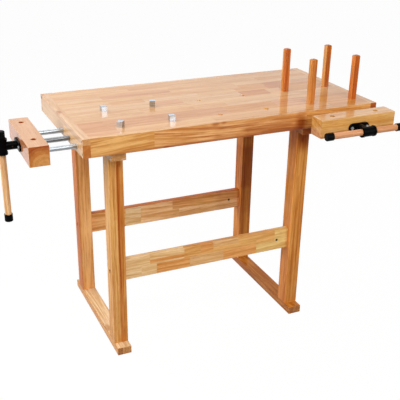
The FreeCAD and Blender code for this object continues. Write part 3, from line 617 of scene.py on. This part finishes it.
APRON_KNOTS_AND_SHADE = [
    (0.020, BF, 0.846, 0.008, 0.9),
    (0.050, BF, 0.847, 0.006, 0.8),
    # Painted shadow over darker wood: a dark spot in the front jaw's shadow on the apron.
    (0.357, BF, 0.812, 0.012, 0.8),
    (-0.160, BF, 0.788, 0.005, 0.6),
]
REAR_ROWS = [
    (TOP_SKIN, [(-0.160, "wheat"), (0.180, "honey"), (0.420, "amber"), (ON, "wheat")]),
    (ON, [(ON, "oat")]),
]
wooden("front_apron", X, Z, APRON_ROWS, 5, figure=1.3, veins=0.85, slope=0.2, gloss=0.8,
       streaks=APRON_STREAKS_AND_SHADE, knots=APRON_KNOTS_AND_SHADE)
wooden("rear_apron", X, Z, REAR_ROWS, 6, gloss=0.8)

LEFT_END_ROWS = [
    (0.829, [(SIDE_SKIN, "end dark"), (-0.125, "sand"), (0.040, "sand"), (ON, "shell")]),
    (TOP_SKIN, [(SIDE_SKIN, "end light"), (-0.080, "shell"), (ON, "shell")]),
    (ON, [(SIDE_SKIN, "end light"), (ON, "straw")]),
]
LEFT_END_KNOTS = [
    (BL + 0.003, 0.116, 0.850, 0.010, 0.8),
    (BL + 0.009, 0.118, 0.851, 0.008, 0.6),
    (BL + 0.006, 0.273, 0.850, 0.006, 0.4),
    (BL, 0.362, 0.846, 0.012, 0.7),
    (BL, -0.172, 0.812, 0.005, 0.6),
    (BL, 0.225, 0.846, 0.006, 0.4),
]
RIGHT_END_ROWS = [
    (TOP_SKIN, [(SIDE_SKIN, "end red"), (0.030, "honey"), (0.210, "amber"), (ON, "honey")]),
    (ON, [(SIDE_SKIN, "end red"), (ON, "oat")]),
]
wooden("left_end_board", Y, Z, LEFT_END_ROWS, 7, "left end", figure=0.5, veins=0.15, gloss=0.85,
       shine=0.24, knots=LEFT_END_KNOTS)
wooden("right_end_board", Y, Z, RIGHT_END_ROWS, 8, "right end", gloss=0.8)

RAILS = {  # the tone of the front end, then of the rest
    "left_bearer": ("wheat", "wheat"),
    "right_bearer": ("chestnut", "chestnut"),
    "left_top_rail": ("chalk", "chalk"),
    "right_top_rail": ("walnut", "chestnut"),
}
for number, (node, (end, tone)) in enumerate(RAILS.items(), start=9):
    wooden(node, Y, X, [(ON, [(RAIL_SKIN, end), (ON, tone)])], number)

LEGS = {  # its strips from the left side, its streaks and its knots; some of the streaks and knots are painted shade
    "left_front_leg": (
        [("honey", 0.003), ("honey", 0.026), ("copper", 0.038), ("cinnamon", ON)],
        [
            (-0.3180, 0.0024, 0.24, 0.80, 0.90),
            (-0.3080, 0.0016, 0.10, 0.62, 0.35),
            (-0.3350, 0.0020, 0.56, 0.80, 0.50),
            (-0.3050, 0.0060, 0.60, 0.80, 0.30),
        ],
        [(-0.310, -0.1505, 0.735, 0.006, 0.7)],
    ),
    "left_rear_leg": (
        [("russet", 0.002), ("apricot", 0.034), ("apricot", ON)],
        [
            (-0.3430, 0.0030, 0.30, 0.70, 0.60),
            (-0.3150, 0.0180, 0.52, 0.80, 0.40),
        ],
        [],
    ),
    "right_front_leg": (
        [("carrot", 0.002), ("cinnamon", 0.024), ("cinnamon", ON)],
        [
            # Painted shade: these three wide streaks darken the top of the leg's front, where the
            # front jaw shadows it.
            (0.4060, 0.0260, 0.67, 0.90, 0.70),
            (0.4060, 0.0260, 0.69, 0.90, 0.80),
            (0.4060, 0.0260, 0.72, 0.90, 0.40),
            (0.3900, 0.0040, 0.10, 0.60, 0.45),
            (0.4080, 0.0030, 0.20, 0.66, 0.50),
            (0.3730, 0.0015, 0.00, 0.30, 0.40),
        ],
        # Painted shade: a dark spot in the front jaw's shadow on the leg, not a knot.
        [(0.3960, -0.1505, 0.728, 0.006, 0.9)],
    ),
    "right_rear_leg": (
        [("carrot", 0.002), ("chestnut", 0.030), ("chestnut", ON)],
        [
            # Painted shade: these two wide streaks darken the leg's front, where the top shadows
            # it.
            (0.3990, 0.0300, 0.36, 0.58, 0.65),
            (0.3990, 0.0300, 0.24, 0.74, 0.35),
            (0.3880, 0.0030, 0.10, 0.50, 0.50),
        ],
        [],
    ),
}
for number, (node, (ends, streaks, knots)) in enumerate(LEGS.items(), start=20):
    wooden(node, Z, X, strips(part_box(node)[0].x, ends), number, figure=1.1, veins=0.6, gloss=0.2,
           streaks=streaks, knots=knots)

FEET = {  # the tones of the end's two staves, of the left face and of the rest, a knot, figure
    "left_foot": (
        ("end brown", "end pale", "honey", "oyster"), (-0.342, -0.038, 0.030, 0.013, 0.7), 1.0,
    ),
    "right_foot": (
        ("end brown", "end brown", "chestnut", "chestnut"), (0.380, 0.215, 0.030, 0.012, 0.5), 1.2,
    ),
}
for number, (node, (tones, knot, figure)) in enumerate(FEET.items(), start=30):
    end_left, end_right, side, tone = tones
    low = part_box(node)[0].x
    rows = [
        (low + FOOT_SIDE, [(FOOT_SKIN, end_left), (ON, side)]),
        (low + FOOT_STAVE, [(FOOT_SKIN, end_left), (ON, tone)]),
        (ON, [(FOOT_SKIN, end_right), (ON, tone)]),
    ]
    wooden(node, Y, X, rows, number, figure=figure, knots=[knot])

FRONT_STRETCHER = [
    (0.3215, [(-0.233, "cream"), (-0.174, "cream"), (-0.042, "marmalade"), (0.096, "wheat"),
              (0.236, "marmalade"), (ON, "custard")]),
    (0.3280, [(-0.200, "cream"), (-0.065, "cream"), (0.053, "honey"), (0.315, "honey"),
              (ON, "custard")]),
    (0.3420, [(-0.200, "cream"), (-0.065, "marmalade"), (0.001, "honey"), (0.053, "marmalade"),
              (0.235, "honey"), (0.315, "honey"), (ON, "custard")]),
    (ON, [(-0.200, "cream"), (-0.065, "cream"), (0.001, "honey"), (0.053, "marmalade"),
          (0.158, "wheat"), (0.315, "honey"), (ON, "custard")]),
]
REAR_STRETCHER = [
    (0.3210, [(-0.225, "apricot"), (-0.149, "apricot"), (-0.082, "pearl"), (0.090, "melon"),
              (ON, "melon")]),
    (0.3605, [(-0.149, "apricot"), (-0.082, "pearl"), (0.060, "melon"), (ON, "apricot")]),
    (ON, [(ON, "russet")]),
]
REAR_STRETCHER_STREAKS_AND_SHADE = [
    (0.352, 0.005, 0.030, 0.300, 0.6),
    (0.340, 0.003, -0.060, 0.170, 0.4),
    # Painted shade: a wide streak that darkens the stretcher's right end, where it lies in shade
    # under the bench.
    (0.325, 0.060, 0.255, 0.500, 0.4),
]
wooden("front_stretcher", X, Z, FRONT_STRETCHER, 40, figure=0.9, veins=0.35, slope=0.16)
wooden("rear_stretcher", X, Z, REAR_STRETCHER, 41, figure=1.1, veins=0.6, slope=0.16,
       streaks=REAR_STRETCHER_STREAKS_AND_SHADE)

JAW_ROWS = [(0.7985, [(ON, "brass")]), (JAW_SKIN, [(ON, "maize")]), (ON, [(ON, "biscuit")])]
END_JAW_ROWS = [(JAW_SKIN, [(-0.1850, "end honey"), (ON, "salmon")]), (ON, [(ON, "nougat")])]
END_JAW_PITH = (0.772, -0.566)  # its Z and X, just below the jaw
END_JAW_ARCS = [(0.040, "end orange"), (0.052, "end copper"), (0.062, "end red")]
wooden("front_jaw", X, Z, JAW_ROWS, 50, figure=0.9, veins=0.3, slope=0.12, gloss=0.85)
wooden("end_jaw", Y, Z, END_JAW_ROWS, 51, figure=0.45, veins=0.1, gloss=0.9, pith=END_JAW_PITH,
       arcs=END_JAW_ARCS)
wooden("end_handle_bar", Z, Y, one("ash"), 60, gloss=0.3)
wooden("front_handle_bar", X, Y, one("clay"), 61, gloss=0.3)

PEGS = [("pumpkin", "peg"), ("caramel", "nutmeg"), ("pumpkin", "clove"), ("tangerine", "rust")]
for number, (side, tone) in enumerate(PEGS, start=1):
    node = f"wooden_peg_{number}"
    rows = strips(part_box(node)[0].x, [(side, PEG_SIDE), (tone, ON)])
    wooden(node, Z, X, rows, 70 + number, f"peg {number}", gloss=0.4)
wooden("stretcher_dowels", X, Z, one("wheat"), 80, "dowel", gloss=0.0)

# ---------------------------------------------------------------- the metal and plastic pieces

zinc = plated("zinc plated rod", (0.42, 0.45, 0.47), roughness=0.34)
bright = plated("bright bolt zinc", (0.90, 0.91, 0.92), roughness=0.42)
nickel = plated("nickel plated dog", (0.58, 0.66, 0.75), roughness=0.20)
oiled = plated("oiled screw steel", (0.36, 0.37, 0.38), roughness=0.32, worn=0.4)
plain = plated("plain steel", (0.60, 0.61, 0.63), roughness=0.3)
browned = black("browned fastener steel", (0.030, 0.016, 0.008), 0.45, grain=900.0, shine=0.2)
paint = black("black painted iron", (0.0016, 0.0015, 0.0015), 0.32, grain=700.0, shine=0.035)
plastic = black("black moulded plastic", (0.0024, 0.0023, 0.0023), 0.40, grain=1200.0, shine=0.035)

for number in range(1, 5):
    dress(f"steel_dog_{number}", nickel)
for node in ("corner_screws", "stretcher_bolts", "barrel_nuts", "frame_bolts"):
    dress(node, browned)
VISE_FINISHES = {
    "guide_rods": zinc,
    "screw": oiled,
    "screw_collar": plain,
    "hub_pin": browned,
    "plate_screws": browned,
    "guide_plate": paint,
    "flange": paint,
    "hub": paint,
    "handle_caps": plastic,
}
dress("end_flange_bolts", zinc)
dress("front_flange_bolts", bright)
for vise, seat in SEATS.items():
    for part, finish in VISE_FINISHES.items():
        dress(f"{vise}_{part}", finish)
    screw = turned_screw(f"{vise}_screw_threaded", SCREW_START, THREAD_START, SCREW_END, seat)
    screw.data.materials.append(oiled)
    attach(screw, f"{vise}_screw")
    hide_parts(f"{vise}_screw")

# ---------------------------------------------------------------- camera

EYE = Vector((-1.0171458, -2.3242705, 1.6151053))
YAW, PITCH, ROLL = (math.radians(a) for a in (24.06124, 24.97648, -0.73467))
FOCAL_PIXELS, IMAGE_SIDE, CENTRE = 734.766, 400.0, (191.3168, 213.6585)


def make_camera():
    forward = Vector(
        (math.sin(YAW) * math.cos(PITCH), math.cos(YAW) * math.cos(PITCH), -math.sin(PITCH))
    )
    right = Vector((math.cos(YAW), -math.sin(YAW), 0.0))
    down = forward.cross(right)
    across = math.cos(ROLL) * right + math.sin(ROLL) * down
    downward = math.cos(ROLL) * down - math.sin(ROLL) * right
    lens = bpy.data.cameras.new("camera")
    lens.lens = FOCAL_PIXELS * lens.sensor_width / IMAGE_SIDE
    lens.shift_x = (IMAGE_SIDE / 2 - CENTRE[0]) / IMAGE_SIDE
    lens.shift_y = (CENTRE[1] - IMAGE_SIDE / 2) / IMAGE_SIDE
    camera = placed("camera", lens)
    turned = Matrix((across, -downward, -forward)).transposed().to_4x4()
    camera.matrix_world = Matrix.Translation(EYE) @ turned
    bpy.context.scene.camera = camera


make_camera()

# ---------------------------------------------------------------- light

LAMP_DISTANCE = 3.2
LAMP_AIM = Vector((0.0, 0.0, 0.6))
LAMPS = [  # name, degrees round from the front to the right, degrees up, side, radiance
    ("left softbox", -88, 19, 2.0, 4.7),
    ("high left softbox", -42, 46, 1.2, 5.6),
    ("right softbox", 24, 23, 2.1, 3.7),
    ("high front softbox", 0, 52, 1.2, 5.0),
    ("rear right softbox", 165, 48, 1.2, 3.4),
    ("rear left softbox", 220, 46, 1.2, 9.2),
]
WHITE = (1, 1, 1, 1)
WORLD_LEVEL = 0.16
DIM_FRONT = 0.35  # what gloss shows of the room before the bench, where no backdrop hangs
DIM_RIGHT = 0.75  # how much of it is lost at the right, where the room is dark
# Where that white rises to the back and falls to the right, as parts of a direction's length 1.
BACKDROP_RISE, RIGHT_FALL = (-0.35, 0.25), (0.70, 0.90)
FLOOR_RISE = (-1.6, 0.0)  # where it rises to the back on the floor
FLOOR_SIZE = 12.0
FLOOR_PAINT, FLOOR_PALER = 0.40, 0.55  # what it throws back, and how much more the camera sees
FLOOR_WHITE = 0.975  # the share of plain white over that paint, which shows the shadows


def softbox(name, azimuth, elevation, size, radiance):
    """A square area lamp that faces the bench."""
    turn, rise = math.radians(azimuth), math.radians(elevation)
    flat = math.cos(rise)
    way = Vector((math.sin(turn) * flat, -math.cos(turn) * flat, math.sin(rise)))
    lamp = bpy.data.lights.new(name, "AREA")
    lamp.shape = "SQUARE"
    lamp.size = size
    lamp.energy = radiance * math.pi * size * size
    thing = placed(name, lamp)
    thing.location = LAMP_AIM + way * LAMP_DISTANCE
    thing.rotation_mode = "QUATERNION"
    thing.rotation_quaternion = way.to_track_quat("Z", "Y")


def rays(f):
    """1 for what the camera sees directly, and 1 for what shows in gloss or glass."""
    paths = f.node("LightPath").socket.node.outputs
    camera, glossy, glass = (
        Wire(f, paths[n]) for n in ("Is Camera Ray", "Is Glossy Ray", "Is Transmission Ray")
    )
    return camera, (glossy + glass).clamped()


def backdrop(f, number, rise):
    """The level of the room's white behind the bench, down to DIM_FRONT before it."""
    return f.smooth(number, *rise) * (1.0 - DIM_FRONT) + DIM_FRONT


def make_world():
    world = bpy.data.worlds.new("studio")
    world.use_nodes = True
    f = Finish("studio", world.node_tree)
    camera, gloss = rays(f)
    way = f.parts(f.node("TexCoord", None, None, "Generated"))
    shown = backdrop(f, way[1], BACKDROP_RISE) * (1.0 - f.smooth(way[0], *RIGHT_FALL) * DIM_RIGHT)
    level = camera + (1.0 - camera) * (gloss * shown + (1.0 - gloss) * WORLD_LEVEL)
    background = f.node("Background", None, {"Color": WHITE, "Strength": level})
    f.node("OutputWorld", None, {"Surface": background})
    bpy.context.scene.world = world


def make_floor():
    f = Finish("floor white")
    camera, gloss = rays(f)
    strength = camera + (1.0 - camera) * backdrop(f, f.parts(f.place())[1], FLOOR_RISE)
    white = f.node("Emission", None, {"Color": WHITE, "Strength": strength})
    paint = camera * FLOOR_PALER + FLOOR_PAINT
    pale = f.node("BsdfDiffuse", None, {"Color": f.joined(paint, paint, paint)})
    share = (camera + gloss).clamped() * FLOOR_WHITE
    both = f.node("MixShader", None, {0: share, 1: pale, 2: white})
    f.node("OutputMaterial", None, {"Surface": both})
    shape = bmesh.new()
    bmesh.ops.create_grid(shape, x_segments=1, y_segments=1, size=FLOOR_SIZE)
    mesh = meshed("floor", shape)
    mesh.materials.append(f.material)
    floor = placed("floor", mesh)


for lamp in LAMPS:
    softbox(*lamp)
make_world()
make_floor()
bpy.context.scene.view_settings.view_transform = "Standard"
